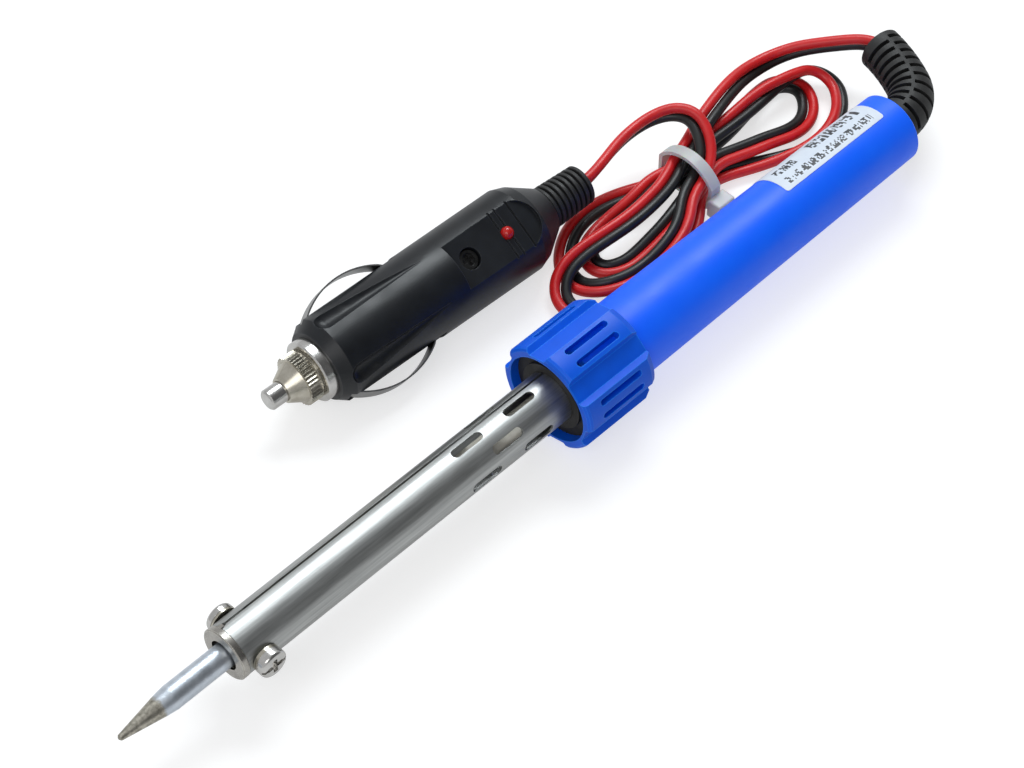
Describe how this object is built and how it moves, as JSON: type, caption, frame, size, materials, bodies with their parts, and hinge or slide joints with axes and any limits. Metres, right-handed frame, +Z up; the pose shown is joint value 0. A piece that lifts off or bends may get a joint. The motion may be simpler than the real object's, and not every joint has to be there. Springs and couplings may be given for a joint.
{
  "type": "soldering iron",
  "caption": "Low-voltage pencil soldering iron with a pointed bit in a vented tube barrel, fluted finger guard, tapered handle, and a tied twin cord with an accessory plug.",
  "frame": {"origin": "on the iron's axis at the front edge of the finger guard", "axes": "+X along the iron from tip to handle, +Z up off the table, +Y towards the plug beside the iron"},
  "size_m": [0.2498, 0.0669, 0.0257],
  "materials": {
    "bit": "satin nickel plate, tinned point",
    "end_plate": "bright nickel plate",
    "holder_ring": "turned steel",
    "barrel": "brushed sheet steel",
    "clamp_screw": "nickel plate",
    "washer": "nickel plate",
    "heater_core": "fired ceramic",
    "heater_coil": "resistance wire",
    "mica_wrap": "mica sheet",
    "lead_wires": "tinned wire",
    "lead_sleeves": "woven glass fibre",
    "crimps": "tinned brass",
    "heat_disc": "moulded, matt",
    "collar": "glossy moulding",
    "handle": "glossy moulding",
    "label": "coated sticker",
    "cord_relief": "matt rubber",
    "cable_red": "soft PVC",
    "cable_black": "soft PVC",
    "cable_tie": "translucent nylon",
    "plug_shell": "satin moulding",
    "shell_screw": "blackened steel",
    "led": "red lens",
    "resistor": "lacquered",
    "nose_ring": "bright nickel plate",
    "cap_nut": "nickel plate, knurled",
    "centre_pin": "nickel plate",
    "pin_spring": "spring wire",
    "fuse_glass": "clear",
    "fuse_caps": "nickel plate",
    "positive_terminal": "pressed brass",
    "side_contact": "plated spring steel",
    "plug_relief": "matt rubber"
  },
  "bodies": {
    "iron": {"barrel": "barrel", "end_plate": "end_plate", "holder_ring": "holder_ring", "heater_core": "heater_core", "heater_coil": "heater_coil", "mica_wrap": "mica_wrap", "lead_wires": "lead_wires", "lead_sleeves": "lead_sleeves", "crimps": "crimps", "heat_disc": "heat_disc", "collar": "collar", "handle": "handle", "label": "label", "cord_relief": "cord_relief", "cable_red": "cable_red", "cable_black": "cable_black", "cable_tie": "cable_tie", "plug_shell_upper": "plug_shell", "plug_shell_lower": "plug_shell", "led": "led", "resistor": "resistor", "fuse_glass": "fuse_glass", "fuse_caps": "fuse_caps", "positive_terminal": "positive_terminal", "plug_relief": "plug_relief"},
    "bit": {"bit": "bit"},
    "near_washer": {"washer_near": "washer"},
    "near_screw": {"clamp_screw_near": "clamp_screw"},
    "far_washer": {"washer_far": "washer"},
    "far_screw": {"clamp_screw_far": "clamp_screw"},
    "case_screw": {"shell_screw": "shell_screw"},
    "front_ring": {"nose_ring": "nose_ring"},
    "cap": {"cap_nut": "cap_nut", "pin_spring": "pin_spring"},
    "pin": {"centre_pin": "centre_pin"},
    "earth_near": {"side_contact_near": "side_contact"},
    "earth_far": {"side_contact_far": "side_contact"}
  },
  "joints": [
    {"name": "bit_slide", "type": "slide", "parent": "iron", "child": "bit", "axis": [-1, 0, 0], "range_m": [0, 0.024]},
    {"name": "near_clamp_turn", "type": "hinge", "parent": "near_washer", "child": "near_screw", "pos_m": [-0.0845, -0.00895, 0], "axis": [0, -1, 0], "range_deg": [-2, 722]},
    {"name": "near_washer_lift", "type": "slide", "parent": "iron", "child": "near_washer", "axis": [0, -1, 0], "range_m": [0, 0.001]},
    {"name": "far_clamp_turn", "type": "hinge", "parent": "far_washer", "child": "far_screw", "pos_m": [-0.0845, 0.00815, 0], "axis": [0, 1, 0], "range_deg": [-2, 722]},
    {"name": "far_washer_lift", "type": "slide", "parent": "iron", "child": "far_washer", "axis": [0, 1, 0], "range_m": [0, 0.001]},
    {"name": "case_screw_turn", "type": "hinge", "parent": "iron", "child": "case_screw", "pos_m": [0.0133, 0.03645, 0.00408], "axis": [-0.0213, -0.5071, 0.8616], "range_deg": [0, 720]},
    {"name": "cap_turn", "type": "hinge", "parent": "front_ring", "child": "cap", "pos_m": [-0.0357, 0.04242, -0.00255], "axis": [-0.9991, 0.0419, 0], "range_deg": [-2, 1082]},
    {"name": "ring_lift", "type": "slide", "parent": "iron", "child": "front_ring", "axis": [-0.9991, 0.0419, 0], "range_m": [0, 0.003]},
    {"name": "pin_slide", "type": "slide", "parent": "cap", "child": "pin", "axis": [0.9991, -0.0419, 0], "range_m": [0, 0.0026], "stiffness_N_per_m": 60, "deforming": ["pin_spring"]},
    {"name": "near_contact_flex", "type": "hinge", "parent": "iron", "child": "earth_near", "pos_m": [-0.02421, 0.03469, -0.00681], "axis": [-0.0213, -0.5071, 0.8616], "range_deg": [0, 6], "stiffness_Nm_per_rad": 0.001},
    {"name": "far_contact_flex", "type": "hinge", "parent": "iron", "child": "earth_far", "pos_m": [-0.0236, 0.04915, 0.00171], "axis": [0.0213, 0.5071, -0.8616], "range_deg": [0, 6], "stiffness_Nm_per_rad": 0.001}
  ],
  "couplings": [
    {"joint": "near_clamp_turn", "follows": "near_washer_lift", "rad_per_m": 12566},
    {"joint": "far_clamp_turn", "follows": "far_washer_lift", "rad_per_m": 12566},
    {"joint": "cap_turn", "follows": "ring_lift", "rad_per_m": 6283.2}
  ]
}
